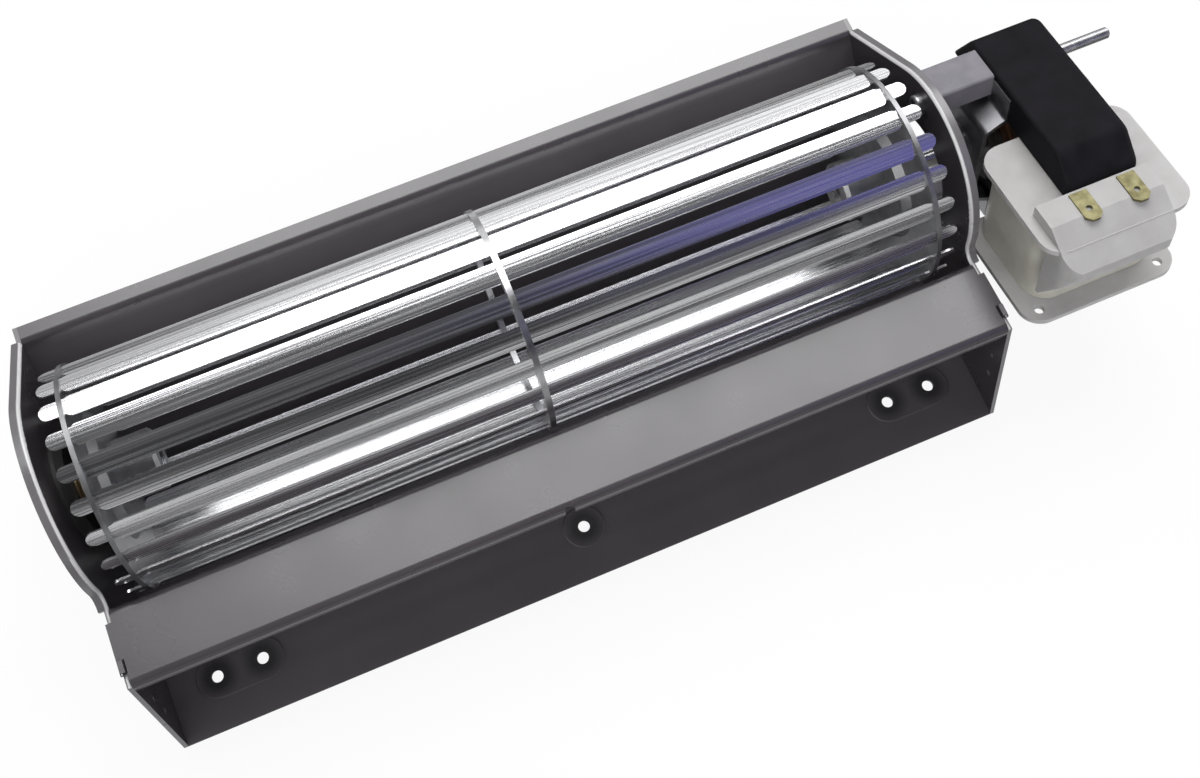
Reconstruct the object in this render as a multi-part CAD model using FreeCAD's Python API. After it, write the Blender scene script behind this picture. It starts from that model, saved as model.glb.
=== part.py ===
"""Cross flow fan: a long bladed wheel in a folded sheet duct, driven by a shaded pole motor.

X runs along the shaft towards the motor, -Y is the way the air leaves and +Z is up.
The origin lies under the wheel's axis, in the middle of the duct, on the underside of its floor.
"""

import FreeCAD, Part

import math
import os

# Duct
sheet = 1.0                  # thickness of the folded sheets
duct_width = 233.5           # between the inner faces of the end plates
floor_front = 64.4           # front edge of the floor, ahead of the wheel's axis
scroll_gap = 3.0             # how much larger the curved rear wall's radius is than the wheel's
scroll_setback = 1.0         # the rear wall's centre lies this far behind the wheel's axis
scroll_lean = 15.0           # degrees that the rear wall leans back where it ends
lip_start_drop = 7.0         # the rear lip bends away from the wheel this far below the axis
lip_gap = 11.7               # from the wheel to the inner edge of the rear flange
lip_flange_width = 4.0
bend_radius = 1.6            # middle of the sheet, at every small fold

# Wheel
wheel_radius = 30.0
floor_gap = 5.0              # between the wheel and the floor
blade_count = 22
blade_rim = 0.6              # from the blades' outer edges to the rim of the discs
blade_chord = 5.2            # along the curved sheet, from its outer to its inner edge
blade_curve = 18.0           # radius of the sheet's bend
blade_phase = -26.0          # degrees from the top to the first blade's outer edge, positive to the front
blade_thickness = 0.6
blade_exit_angle = 10.0      # degrees between the blade and the rim at its outer edge
blade_end_gap = 4.6          # from the blades' tabs to the end plates
blade_shoulder_gap = 0.25    # from the blades' shoulders to the discs
blade_corner = 1.5
blade_tab_inset = 0.4        # from a blade's outer edge to its tabs
blade_tab_width = 4.0
disc_setback = 9.3           # from an end disc's outer face to the end plate
disc_thickness = 1.2
disc_dish_depth = 2.0
disc_dish_radius = 17.0
ring_thickness = 1.6
ring_margin = 2.0            # inside the blades
slot_clearance = 0.08

# Tongue
tongue_gap = 2.2             # between the wheel and the tongue
tongue_depth = 19.8          # from the wheel side to the front edge
tongue_lift = 1.2            # middle of the sheet above the axis, at the wheel side
tongue_rise = 1.6            # how much higher the front edge is
tongue_lip = 9.0             # fold that runs down beside the wheel
tongue_nose = 4.0            # fold along the front edge
tongue_overhang = 0.4        # past the outer faces of the end plates
nick_radius = 1.3            # small nick in the front edge
nick_offset = -4.7           # from the middle
stake_inset = 5.2            # from the tongue's front edge to the end plate's staked tab
stake_length = 3.0
stake_clearance = 0.3
stake_height = 0.8           # above the tongue

# End plates
plate_thickness = 1.2
arch_drop = 2.0              # how far the wheel stands above the arch
arch_foot_radius = 4.0       # hollow curve between the arch and the tongue
arch_flange = 2.6            # width of the rim that is turned outwards
plate_margin = 3.0           # outside the curved rear wall
foot_back = 18.0             # flat foot behind the axis
lip_corner_drop = 3.0
edge_hole_radius = 0.9
edge_hole_count = 3
edge_hole_pitch = 8.0
edge_hole_inset = 4.0
edge_hole_drop = 9.5         # first hole below the tongue
drive_hole_radius = 14.0

# Tabs that hold the sheets in the end plates
tab_length = 6.0
tab_height = 1.4             # past the outer face of the end plate
tab_clearance = 0.12
seat_gap = 0.05              # between a sheet and the edge it lies on
floor_tab_insets = (22.4, 56.4)  # from the floor's front edge
wall_tab_drop = 16.0         # below the axis

# Floor holes
hole_radius = 1.6
hole_inset = 13.9            # from the floor's front edge to the holes
pair_inset = 19.0            # from an end plate to the middle of a pair
pair_spacing = 12.5
emboss_height = 0.5
emboss_radius = 5.5
emboss_slope = 1.0

# Left bearing
shaft_radius = 3.0
running_clearance = 0.04
press_clearance = 0.02
bush_radius = 6.5
bush_length = 9.0
grommet_radius = 13.0
grommet_hole_radius = 10.5
grommet_length = 7.0
felt_length = 2.0
washer_radius = 5.5
washer_thickness = 0.8
stub_overhang = 2.5          # shaft past the bush

# Hubs
hub_radius = 8.0
hub_length = 11.0
set_screw_radius = 2.0
set_screw_length = 4.5

# Motor
motor_tilt = 15.0            # degrees that the coil end is turned up about the shaft
motor_standoff = 19.05       # from the end plate to the lamination stack
stack_length = 18.0
stack_half_height = 24.8
stack_rear = 17.0            # behind the shaft
stack_rear_flat = 11.2
stack_front = 36.2           # ahead of the shaft
stack_front_flat = 29.4
stack_front_drop = 5.5
stack_rear_drop = 9.0
limb_width = 12.2
window_half_height = 16.0
window_rear = 14.6
motor_gap = 0.4
rotor_radius = 12.0
cage_ring_length = 2.0
cage_ring_wall = 4.5
cover_gap = 0.1
cover_wall = 0.9
cover_corner = 4.0
cover_outer_round = 2.0
cover_inner_round = 1.0
foot_clearance = 0.2
shade_slot_wide = 1.6
shade_slot_long = 3.6
shade_slot_offset = 3.2
shade_slot_radius = 13.2
shade_turn = 40.0            # degrees that the shading rings sit round from the upright
shade_overhang = 1.1

bobbin_width = 44.5
bobbin_upper_width = 41.0
bobbin_upper_shift = -1.8    # the upper flange and the terminals sit towards the wheel
bobbin_reach = 14.8          # the flanges, ahead of the stack
bobbin_flange = 1.6
bobbin_wall = 1.2
bobbin_corner = 6.0
bobbin_clearance = 0.2
bobbin_hole_radius = 1.3
bobbin_hole_spacing = 35.0
bobbin_hole_inset = 3.8
block_width = 31.0
block_height = 3.4
block_shift = -4.0           # the terminal block sits still nearer to the wheel
block_gap = 1.4              # from the stack's front to the block
block_level = 7.4            # length of its level top
block_reach = 12.0           # from there down to the front edge
block_edge_high = 12.4       # top and bottom of the front edge, above the limb's middle
block_edge_low = 10.0
block_drop = 6.0             # bottom of its front wall, below the limb's middle
block_foot = 1.0             # between the coil and the foot of the front wall, outside
block_corner = 6.0
winding_wall = 6.6
wrap_thickness = 1.2
wrap_clearance = 0.1
coil_corner = 7.0

spade_width = 4.8
spade_length = 9.0
spade_thickness = 0.8
spade_spacing = 13.2
spade_inset = 0.8            # from the block's rear face
spade_hole_radius = 0.8
spade_hole_inset = 3.6
spade_nose = 1.4

bracket_thickness = 1.2
bracket_width = 16.0
bracket_reach = 23.4         # half of its height
bracket_foot = 7.1           # flat part under each screw
bracket_joggle = 6.0         # how far the middle stands off the stack
bracket_slant = 3.0
boss_radius = 7.6
boss_length = 5.0
motor_bush_radius = 5.6
motor_bush_length = 6.4
shaft_end_gap = 1.0          # shaft past the outer bush

screw_radius = 1.5
screw_clearance = 0.1
screw_back = 2.0             # the screws lie this far behind the shaft
screw_height = 21.3          # above and below the shaft
screw_tail = 16.0            # past the outer face of the stack
screw_head_radius = 2.8
screw_head_length = 2.2
spacer_width = 10.4
spacer_height = 7.4
spacer_back = 2.3            # middle of the block, behind the screw's axis

# Worked out from the sizes above
half_width = duct_width / 2
plate_face = half_width + plate_thickness
axis_height = sheet + floor_gap + wheel_radius
scroll_radius = wheel_radius + scroll_gap
scroll_centre = (scroll_setback, sheet + scroll_radius)
lip_start_height = axis_height - lip_start_drop
lip_top_back = wheel_radius + lip_gap
blade_outer_radius = wheel_radius - blade_rim
blade_entry_angle = blade_exit_angle + math.degrees(blade_chord / blade_curve)
blade_centre = (blade_curve * math.sin(math.radians(blade_exit_angle)),
                blade_outer_radius - blade_curve * math.cos(math.radians(blade_exit_angle)))
blade_inner_radius = math.hypot(blade_centre[0] - blade_curve * math.sin(math.radians(blade_entry_angle)),
                                blade_centre[1] + blade_curve * math.cos(math.radians(blade_entry_angle)))
ring_inner_radius = blade_inner_radius - ring_margin
blade_end = half_width - blade_end_gap
disc_face = half_width - disc_setback
tongue_rear = wheel_radius + tongue_gap
tongue_front = tongue_rear + tongue_depth
tongue_height = axis_height + tongue_lift
stake_front = tongue_front - stake_inset
bobbin_front = stack_front + bobbin_reach
block_rear = stack_front + block_gap
block_flat = block_rear + block_level
block_front = block_flat + block_reach
spade_start = block_rear + spade_inset
arch_radius = wheel_radius - arch_drop
hole_front = floor_front - hole_inset
pair_middle = half_width - pair_inset
wall_tab_height = axis_height - wall_tab_drop
stack_start = plate_face + motor_standoff
stack_end = stack_start + stack_length
screw_end = stack_end + screw_tail
bracket_middle = -screw_back / 2
far = 2 * (duct_width + stack_length + wheel_radius)  # past everything, for the boxes that cut
stack_middle = (stack_start + stack_end) / 2
bore_radius = rotor_radius + motor_gap
limb_rear = stack_front - limb_width


def vector(x, y, z):
    return FreeCAD.Vector(x, y, z)


def around(middle, width):
    """Range of some width about its middle."""
    return middle - width / 2, middle + width / 2


def box(x_range, y_range, z_range):
    """Box between two limits on each axis."""
    low = vector(x_range[0], y_range[0], z_range[0])
    return Part.makeBox(x_range[1] - x_range[0], y_range[1] - y_range[0], z_range[1] - z_range[0], low)


def rod(radius, x_range, y=0.0, z=0.0):
    """Cylinder along X about a line at the given y and z."""
    return Part.makeCylinder(radius, x_range[1] - x_range[0], vector(x_range[0], y, z), vector(1, 0, 0))


def pipe(outer, inner, x_range, y=0.0, z=0.0):
    return rod(outer, x_range, y, z).cut(rod(inner, x_range, y, z))


def shaft_rod(radius, x_range):
    """Cylinder about the wheel's axis."""
    return rod(radius, x_range, 0.0, axis_height)


def shaft_pipe(outer, inner, x_range):
    return pipe(outer, inner, x_range, 0.0, axis_height)


def turned(profile):
    """Solid of revolution about the wheel's axis, from corners given as (x, radius)."""
    corners = [vector(x, 0, axis_height + radius) for x, radius in profile]
    face = Part.Face(Part.makePolygon(corners + corners[:1]))
    return face.revolve(vector(0, 0, axis_height), vector(1, 0, 0), 360)


def mirrored(shape):
    """Copy on the other side of the duct's middle."""
    return shape.mirror(vector(0, 0, 0), vector(1, 0, 0))


def in_motor(shape):
    """Turn a shape that is drawn about the origin, shaft along X, into the motor's tilted place."""
    placed = shape.copy()
    placed.rotate(vector(0, 0, 0), vector(1, 0, 0), -motor_tilt)
    placed.translate(vector(0, 0, axis_height))
    return placed


def side_of_path(corners, radii, offset, place):
    """Edges of a path of straight runs and tangent arcs, moved sideways to its left by the offset."""
    edges = []
    start = None
    count = len(corners)
    directions = []
    for first, second in zip(corners, corners[1:]):
        length = math.dist(first, second)
        directions.append(((second[0] - first[0]) / length, (second[1] - first[1]) / length))
    for index in range(count):
        along = directions[min(index, count - 2)]
        left = (-along[1], along[0])
        corner = corners[index]
        if index in (0, count - 1):
            point = (corner[0] + left[0] * offset, corner[1] + left[1] * offset)
            if start:
                edges.append(Part.LineSegment(place(*start), place(*point)).toShape())
            start = point
            continue
        before = directions[index - 1]
        before_left = (-before[1], before[0])
        cross = before[0] * along[1] - before[1] * along[0]
        turn = math.atan2(cross, before[0] * along[0] + before[1] * along[1])
        sign = math.copysign(1, turn)
        radius = radii[index - 1]
        reach = radius * math.tan(abs(turn) / 2)
        centre = (corner[0] - before[0] * reach + before_left[0] * radius * sign,
                  corner[1] - before[1] * reach + before_left[1] * radius * sign)
        side_radius = radius - offset * sign
        swing = side_radius * sign
        enter = (centre[0] - before_left[0] * swing, centre[1] - before_left[1] * swing)
        leave = (centre[0] - left[0] * swing, centre[1] - left[1] * swing)
        away = math.dist(corner, centre)
        middle = (centre[0] + (corner[0] - centre[0]) / away * side_radius,
                  centre[1] + (corner[1] - centre[1]) / away * side_radius)
        edges.append(Part.LineSegment(place(*start), place(*enter)).toShape())
        edges.append(Part.Arc(place(*enter), place(*middle), place(*leave)).toShape())
        start = leave
    return edges


def strip_face(corners, radii, thickness, place):
    """Face of a bent strip of even thickness whose middle line runs round the given corners."""
    left = side_of_path(corners, radii, thickness / 2, place)
    right = side_of_path(corners, radii, -thickness / 2, place)
    ends = []
    first_pair = (left[0].Vertexes[0], right[0].Vertexes[0])
    last_pair = (left[-1].Vertexes[-1], right[-1].Vertexes[-1])
    for start, end in (first_pair, last_pair):
        ends.append(Part.LineSegment(start.Point, end.Point).toShape())
    return Part.Face(Part.Wire(Part.__sortEdges__(left + right + ends)))


def duct_strip(corners, radii, thickness, x_range):
    """Bent sheet that runs along the duct, its corners given as (y, z)."""
    face = strip_face(corners, radii, thickness, lambda y, z: vector(x_range[0], y, z))
    return face.extrude(vector(x_range[1] - x_range[0], 0, 0))


def scroll_path():
    """Middle line of the scroll sheet: floor, curved rear wall, leaning lip, flat flange."""
    lean = math.radians(scroll_lean)
    middle_radius = scroll_radius + sheet / 2
    floor = sheet / 2
    wall = (scroll_centre[0] + middle_radius * math.cos(lean), scroll_centre[1] - middle_radius * math.sin(lean))
    slope = math.tan(lean)
    knee = (wall[0] - (wall[1] - floor) * slope, floor)
    bend = (wall[0] + (lip_start_height - wall[1]) * slope, lip_start_height)
    top = (lip_top_back, tongue_height)
    corners = [(-floor_front, floor), knee, bend, top, (lip_top_back + lip_flange_width, tongue_height)]
    return corners, [middle_radius, bend_radius * 2, bend_radius]


def tongue_path():
    """Middle line of the tongue sheet: lip beside the wheel, flat top, nose along the front."""
    high = tongue_height + tongue_rise
    corners = [(-tongue_rear, tongue_height - tongue_lip), (-tongue_rear, tongue_height),
               (-tongue_front, high), (-tongue_front, high - tongue_nose)]
    return corners, [bend_radius, bend_radius]


def wall_tab_place():
    """Middle of the rear wall at the height of its tab."""
    drop = scroll_centre[1] - wall_tab_height
    return scroll_centre[0] + math.sqrt(scroll_radius ** 2 - drop ** 2)


def tab_windows(extra):
    """Boxes that limit the scroll's tabs, each grown by a clearance."""
    reach = (-plate_face - tab_height - extra, plate_face + tab_height + extra)
    half = tab_length / 2 + extra
    windows = []
    for inset in floor_tab_insets:
        place = inset - floor_front
        windows.append(box(reach, (place - half, place + half), (-sheet, 2 * sheet)))
    back = wall_tab_place()
    around = (back - 4 * sheet, back + 6 * sheet)
    windows.append(box(reach, around, (wall_tab_height - half, wall_tab_height + half)))
    return windows


def hole_places():
    places = [0.0]
    for side in (-1, 1):
        for step in (-0.5, 0.5):
            places.append(side * pair_middle + step * pair_spacing)
    return places


def slot_prism(length, radius_low, radius_high, z_low, z_high, middle):
    """Prism with round ends, narrowing upwards, with its long side along X."""
    parts = []
    height = z_high - z_low
    for end in (-0.5, 0.5):
        foot = vector(middle + end * length, -hole_front, z_low)
        parts.append(Part.makeCone(radius_low, radius_high, height, foot))
    if length > 0:
        wires = []
        for radius, z in ((radius_low, z_low), (radius_high, z_high)):
            low_x = middle - length / 2
            high_x = middle + length / 2
            ring = [vector(low_x, -hole_front - radius, z), vector(high_x, -hole_front - radius, z),
                    vector(high_x, -hole_front + radius, z), vector(low_x, -hole_front + radius, z)]
            wires.append(Part.makePolygon(ring + ring[:1]))
        parts.append(Part.makeLoft(wires, True, True))
        return parts[0].fuse(parts[1:]).removeSplitter()
    return parts[0]


def emboss_sites():
    """Middle and length of each raised patch round the floor's holes."""
    return [(-pair_middle, pair_spacing), (0.0, 0.0), (pair_middle, pair_spacing)]


def make_scroll():
    corners, radii = scroll_path()
    long_reach = plate_face + tab_height
    full = duct_strip(corners, radii, sheet, (-long_reach, long_reach))
    middle = box((-half_width, half_width), (-far, far), (-far, far))
    body = full.common(middle)
    tabs = [full.common(window) for window in tab_windows(0.0)]
    body = body.fuse(tabs)
    for site, length in emboss_sites():
        raised = slot_prism(length, emboss_radius + emboss_slope, emboss_radius, 0.0, emboss_height + sheet, site)
        hollow = slot_prism(length, emboss_radius + emboss_slope, emboss_radius, -sheet, emboss_height, site)
        body = body.fuse(raised).cut(hollow)
    holes = []
    for place in hole_places():
        holes.append(Part.makeCylinder(hole_radius, 4 * sheet, vector(place, -hole_front, -sheet)))
    return body.cut(holes).removeSplitter()


def tongue_slot(extra, top):
    """Staked tab of an end plate, or the slot for it when it is grown by a clearance."""
    half = stake_length / 2 + extra
    x_range = (half_width - extra, plate_face + extra)
    return box(x_range, (-stake_front - half, -stake_front + half), (tongue_height - 2 * sheet, top))


def make_tongue():
    corners, radii = tongue_path()
    shelf = plate_face + tongue_overhang
    full = duct_strip(corners, radii, sheet, (-shelf, shelf))
    body = full.common(box((-half_width, half_width), (-far, far), (-far, far)))
    flat_front = -tongue_front + 2 * bend_radius
    flat_rear = -tongue_rear - 2 * bend_radius
    top = full.common(box((-shelf, shelf), (flat_front, flat_rear), (-far, far)))
    slot = tongue_slot(stake_clearance, far)
    nick = Part.makeCylinder(nick_radius, far, vector(nick_offset, -tongue_front - sheet / 2, 0))
    return body.fuse(top).cut([slot, mirrored(slot), nick]).removeSplitter()


def arch_edges(inset):
    """Ramp, arch and hollow foot of an end plate's upper edge, moved inwards by the inset."""
    x = half_width
    start = (lip_top_back, tongue_height + sheet / 2 - axis_height)
    reach = math.hypot(*start)
    touch = math.atan2(start[1], start[0]) + math.acos(arch_radius / reach)
    normal = (math.cos(touch), math.sin(touch))
    radius = arch_radius - inset
    level = tongue_height - sheet / 2 - seat_gap - axis_height
    foot_z = level + arch_foot_radius
    foot_y = -math.sqrt((arch_radius + arch_foot_radius) ** 2 - foot_z ** 2)
    foot_angle = math.atan2(foot_z, foot_y)
    inner_foot = arch_foot_radius + inset

    def place(y, z):
        return vector(x, y, z + axis_height)

    def on_arch(angle):
        return place(radius * math.cos(angle), radius * math.sin(angle))

    def on_foot(angle):
        return place(foot_y + inner_foot * math.cos(angle), foot_z + inner_foot * math.sin(angle))

    ramp_start = place(start[0] - normal[0] * inset, start[1] - normal[1] * inset)
    foot_first = foot_angle - math.pi
    foot_last = -math.pi / 2
    ramp = Part.LineSegment(ramp_start, on_arch(touch)).toShape()
    arch = Part.Arc(on_arch(touch), on_arch((touch + foot_angle) / 2), on_arch(foot_angle)).toShape()
    foot = Part.Arc(on_foot(foot_first), on_foot((foot_first + foot_last) / 2), on_foot(foot_last)).toShape()
    return [ramp, arch, foot], ramp_start, on_foot(foot_last)


def plate_outline():
    """Closed outline of an end plate on its inner face."""
    x = half_width
    upper, arch_start, arch_end = arch_edges(0.0)
    nose = vector(x, -tongue_front, tongue_height + tongue_rise - sheet / 2 - seat_gap)
    toe = vector(x, -floor_front, 0)
    margin = scroll_radius + sheet + plate_margin
    heel_angle = -math.acos((foot_back - scroll_centre[0]) / margin)
    lean = -math.radians(scroll_lean)

    def on_wall(angle):
        y = scroll_centre[0] + margin * math.cos(angle)
        return vector(x, y, scroll_centre[1] + margin * math.sin(angle))

    heel = vector(x, foot_back, 0)
    corner_y = lip_top_back + lip_flange_width
    corner_low = vector(x, corner_y, tongue_height - lip_corner_drop)
    corner_high = vector(x, corner_y, arch_start.z)
    edges = list(upper)
    points = [arch_end, nose, toe, heel, on_wall(heel_angle)]
    for first, second in zip(points, points[1:]):
        edges.append(Part.LineSegment(first, second).toShape())
    wall = Part.Arc(on_wall(heel_angle), on_wall((heel_angle + lean) / 2), on_wall(lean))
    edges.append(wall.toShape())
    for first, second in ((on_wall(lean), corner_low), (corner_low, corner_high), (corner_high, arch_start)):
        edges.append(Part.LineSegment(first, second).toShape())
    return Part.Wire(Part.__sortEdges__(edges))


def make_end_plate():
    """Right hand end plate without its holes for the shaft: a flat blank with a rim turned outwards."""
    body = Part.Face(plate_outline()).extrude(vector(plate_thickness, 0, 0))
    outer, outer_start, outer_end = arch_edges(0.0)
    inner, inner_start, inner_end = arch_edges(plate_thickness)
    ends = [Part.LineSegment(outer_start, inner_start).toShape()]
    ends.append(Part.LineSegment(outer_end, inner_end).toShape())
    rim_face = Part.Face(Part.Wire(Part.__sortEdges__(outer + inner + ends)))
    rim = rim_face.extrude(vector(arch_flange, 0, 0))
    body = body.fuse(rim).removeSplitter()
    bend_edges = []
    for edge in body.Edges:
        bounds = edge.BoundBox
        on_face = abs(bounds.XMin - half_width) < 0.001 and bounds.XLength < 0.001
        if on_face and bounds.ZMax > axis_height + arch_foot_radius and edge.Length > arch_foot_radius:
            bend_edges.append(edge)
    body = body.makeFillet(plate_thickness * 0.8, bend_edges)
    body = body.fuse(tongue_slot(0.0, tongue_height + tongue_rise + sheet / 2 + stake_height))
    cuts = []
    corners, radii = scroll_path()
    grown = duct_strip(corners, radii, sheet + 2 * tab_clearance, (half_width - 1, plate_face + 1))
    for window in tab_windows(tab_clearance):
        cuts.append(grown.common(window))
    slope = math.atan2(floor_front - tongue_front, tongue_height + tongue_rise)
    for index in range(edge_hole_count):
        along = edge_hole_drop + index * edge_hole_pitch
        y = -tongue_front - along * math.sin(slope) + edge_hole_inset * math.cos(slope)
        z = tongue_height + tongue_rise - along * math.cos(slope) - edge_hole_inset * math.sin(slope)
        cuts.append(rod(edge_hole_radius, (half_width - 1, plate_face + 1), y, z))
    return body.cut(cuts).removeSplitter()


def make_end_plate_left():
    hole = shaft_rod(grommet_hole_radius, (-plate_face - 1, -half_width + 1))
    return mirrored(make_end_plate()).cut(hole)


def make_end_plate_right():
    holes = [shaft_rod(drive_hole_radius, (half_width - 1, plate_face + 1))]
    for side in (-1, 1):
        through = (half_width - 1, plate_face + 1)
        hole = rod(screw_radius + screw_clearance, through, screw_back, side * screw_height)
        holes.append(in_motor(hole))
    return make_end_plate().cut(holes)


def blade_section(inset, width, extra, x):
    """Cross section of the top blade between two distances from its outer edge: a piece of a thin ring."""
    start = math.radians(blade_exit_angle) + (inset - extra) / blade_curve
    end = math.radians(blade_exit_angle) + (inset + width + extra) / blade_curve
    outer = blade_curve + blade_thickness / 2 + extra
    inner = blade_curve - blade_thickness / 2 - extra

    def at(radius, angle):
        across, up = radius * math.sin(angle), radius * math.cos(angle)
        return vector(x, blade_centre[0] - across, blade_centre[1] + up)

    def arc(radius, first, last):
        return Part.Arc(at(radius, first), at(radius, (first + last) / 2), at(radius, last)).toShape()

    sides = [arc(outer, start, end), Part.makeLine(at(outer, end), at(inner, end))]
    sides += [arc(inner, end, start), Part.makeLine(at(inner, start), at(outer, start))]
    return Part.Face(Part.Wire(sides))


def blade_strip(inset, width, extra, x_range):
    return blade_section(inset, width, extra, x_range[0]).extrude(vector(x_range[1] - x_range[0], 0, 0))


def round_corners(strip, reach, radius):
    """Round the four corners of a strip that ends at plus and minus the reach."""
    corners = []
    for edge in strip.Edges:
        ends = [vertex.Point for vertex in edge.Vertexes]
        flat = all(abs(abs(end.x) - reach) < 1e-6 for end in ends)
        if flat and edge.Length < 2 * blade_thickness:
            corners.append(edge)
    return strip.makeFillet(radius, corners)


def in_wheel(strip, index):
    """A copy of the top blade's strip, turned to another blade's place round the wheel."""
    turned_strip = strip.copy()
    turned_strip.rotate(vector(0, 0, 0), vector(1, 0, 0), blade_phase + index * 360.0 / blade_count)
    turned_strip.translate(vector(0, 0, axis_height))
    return turned_strip


def make_blades():
    """Bent sheet blades: the body ends at the discs, and a round ended tab goes on through them."""
    shoulder = disc_face - disc_thickness - blade_shoulder_gap
    body = round_corners(blade_strip(0, blade_chord, 0.0, (-shoulder, shoulder)), shoulder, blade_corner)
    tab = blade_strip(blade_tab_inset, blade_tab_width, 0.0, (-blade_end, blade_end))
    tab = round_corners(tab, blade_end, 0.42 * blade_tab_width)
    blade = body.fuse(tab).removeSplitter().Solids[0]
    return Part.makeCompound([in_wheel(blade, index) for index in range(blade_count)])


def slotted(disc, inset, width, x_range):
    """Cut the slots for a strip of the blades through a disc or ring."""
    slot = blade_strip(inset, width, slot_clearance, (x_range[0] - 1, x_range[1] + 1))
    return disc.cut([in_wheel(slot, index) for index in range(blade_count)])


def make_middle_ring():
    x_range = (-ring_thickness / 2, ring_thickness / 2)
    return slotted(shaft_pipe(wheel_radius, ring_inner_radius, x_range), 0, blade_chord, x_range)


def make_end_disc():
    """Right hand end disc: a flat rim with the slots, and a dished middle round the hub."""
    outer_face = disc_face
    inner_face = disc_face - disc_thickness
    dish = disc_dish_radius
    slope = dish - disc_dish_depth
    bore = hub_radius * 0.7
    profile = [(outer_face, wheel_radius), (outer_face, dish), (outer_face - disc_dish_depth, slope),
               (outer_face - disc_dish_depth, bore), (inner_face - disc_dish_depth, bore),
               (inner_face - disc_dish_depth, slope), (inner_face, dish), (inner_face, wheel_radius)]
    return slotted(turned(profile), blade_tab_inset, blade_tab_width, (inner_face - 0.5, outer_face))


def make_hub():
    """Right hand hub: a collar behind the disc with a shoulder that is spread through it."""
    inner_face = disc_face - disc_thickness - disc_dish_depth
    outer_face = disc_face - disc_dish_depth
    bore = shaft_radius + press_clearance
    neck = hub_radius * 0.7 - press_clearance
    profile = [(inner_face - hub_length, bore), (inner_face - hub_length, hub_radius - 1),
               (inner_face - hub_length + 1, hub_radius), (inner_face, hub_radius), (inner_face, neck),
               (outer_face, neck), (outer_face, neck + 1.2), (outer_face + 1.0, neck + 1.2),
               (outer_face + 1.6, neck),
               (outer_face + 1.6, bore)]
    hub = turned(profile)
    hole = Part.makeCylinder(set_screw_radius, hub_radius + 1, vector(hub_middle(), 0, axis_height))
    return hub.cut(hole)


def hub_middle():
    return disc_face - disc_thickness - disc_dish_depth - hub_length / 2


def make_set_screw():
    """Grub screw that presses on the shaft, with a hexagon socket."""
    low = axis_height + shaft_radius + press_clearance
    radius = set_screw_radius - press_clearance
    screw = Part.makeCylinder(radius, set_screw_length, vector(hub_middle(), 0, low))
    socket_corners = []
    for index in range(6):
        angle = math.radians(60 * index)
        x = hub_middle() + 0.55 * radius * math.cos(angle)
        y = 0.55 * radius * math.sin(angle)
        socket_corners.append(vector(x, y, low + set_screw_length / 2))
    socket = Part.Face(Part.makePolygon(socket_corners + socket_corners[:1]))
    return screw.cut(socket.extrude(vector(0, 0, set_screw_length)))


def shaft_inner_end():
    return disc_face - disc_thickness - disc_dish_depth - hub_length


def bush_range():
    """The bush sits across the end plate."""
    middle = half_width + plate_thickness / 2
    return (middle - bush_length / 2, middle + bush_length / 2)


def make_stub_shaft():
    low, high = bush_range()
    end = high + stub_overhang
    profile = [(-end, 0), (-end, shaft_radius - 0.5), (-end + 0.5, shaft_radius),
               (-shaft_inner_end(), shaft_radius), (-shaft_inner_end(), 0)]
    return turned(profile)


def make_bush():
    """Sintered bush with bevelled ends."""
    low, high = bush_range()
    bore = shaft_radius + running_clearance
    profile = [(-high, bore), (-high, bush_radius - 0.6), (-high + 0.6, bush_radius),
               (-low - 0.6, bush_radius), (-low, bush_radius - 0.6), (-low, bore)]
    return turned(profile)


def make_grommet():
    """Rubber ring with a groove that grips the edge of the end plate's hole."""
    middle = -half_width - plate_thickness / 2
    half_groove = plate_thickness / 2 + press_clearance
    neck = grommet_hole_radius - press_clearance
    bore = bush_radius + press_clearance
    half = grommet_length / 2
    profile = [(middle - half, bore), (middle - half, grommet_radius - 1.5),
               (middle - half_groove - 1, grommet_radius), (middle - half_groove, grommet_radius),
               (middle - half_groove, neck), (middle + half_groove, neck),
               (middle + half_groove, grommet_radius), (middle + half_groove + 1, grommet_radius),
               (middle + half, grommet_radius - 1.5), (middle + half, bore)]
    return turned(profile)


def make_washers():
    """Two thrust washers on the stub shaft, between the wheel and the left bush."""
    low, high = bush_range()
    inner = shaft_radius + running_clearance
    first = shaft_pipe(washer_radius, inner, (-low + 0.1, -low + 0.1 + washer_thickness))
    start = -low + 0.2 + washer_thickness
    second = shaft_pipe(washer_radius, inner, (start, start + washer_thickness))
    return Part.makeCompound([first, second])


def rounded_slab(x_range, y_range, z_range, radius):
    """Slab with its four upright corners rounded."""
    slab = box(x_range, y_range, z_range)
    upright = [edge for edge in slab.Edges if edge.BoundBox.ZLength > 0.5 * (z_range[1] - z_range[0])]
    return slab.makeFillet(radius, upright)


def screw_places():
    return [(screw_back, side * screw_height) for side in (-1, 1)]


def make_stator():
    """Lamination stack: rotor bore at one end, coil limb at the other, a window between them."""
    points = [vector(stack_start, y, z) for y, z in stack_corners()]
    body = Part.Face(Part.makePolygon(points + points[:1])).extrude(vector(stack_length, 0, 0))
    through = (stack_start - sheet, stack_end + sheet)
    cuts = [rod(bore_radius, through)]
    cuts.append(box(through, (-limb_rear, -window_rear), (-window_half_height, window_half_height)))
    for y, z in screw_places():
        cuts.append(rod(screw_radius + screw_clearance, through, y, z))
    for place in shade_places():
        cuts.append(shade_bar(place, through, 0.0))
    return body.cut(cuts)


def stack_corners():
    """Corners of the stack's outline, as (y, z) about the shaft, from the upper rear round to the lower rear."""
    high = stack_half_height
    corners = [(stack_rear, high - stack_rear_drop), (stack_rear_flat, high), (-stack_front_flat, high),
               (-stack_front, high - stack_front_drop)]
    return corners + [(y, -z) for y, z in reversed(corners)]


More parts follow.
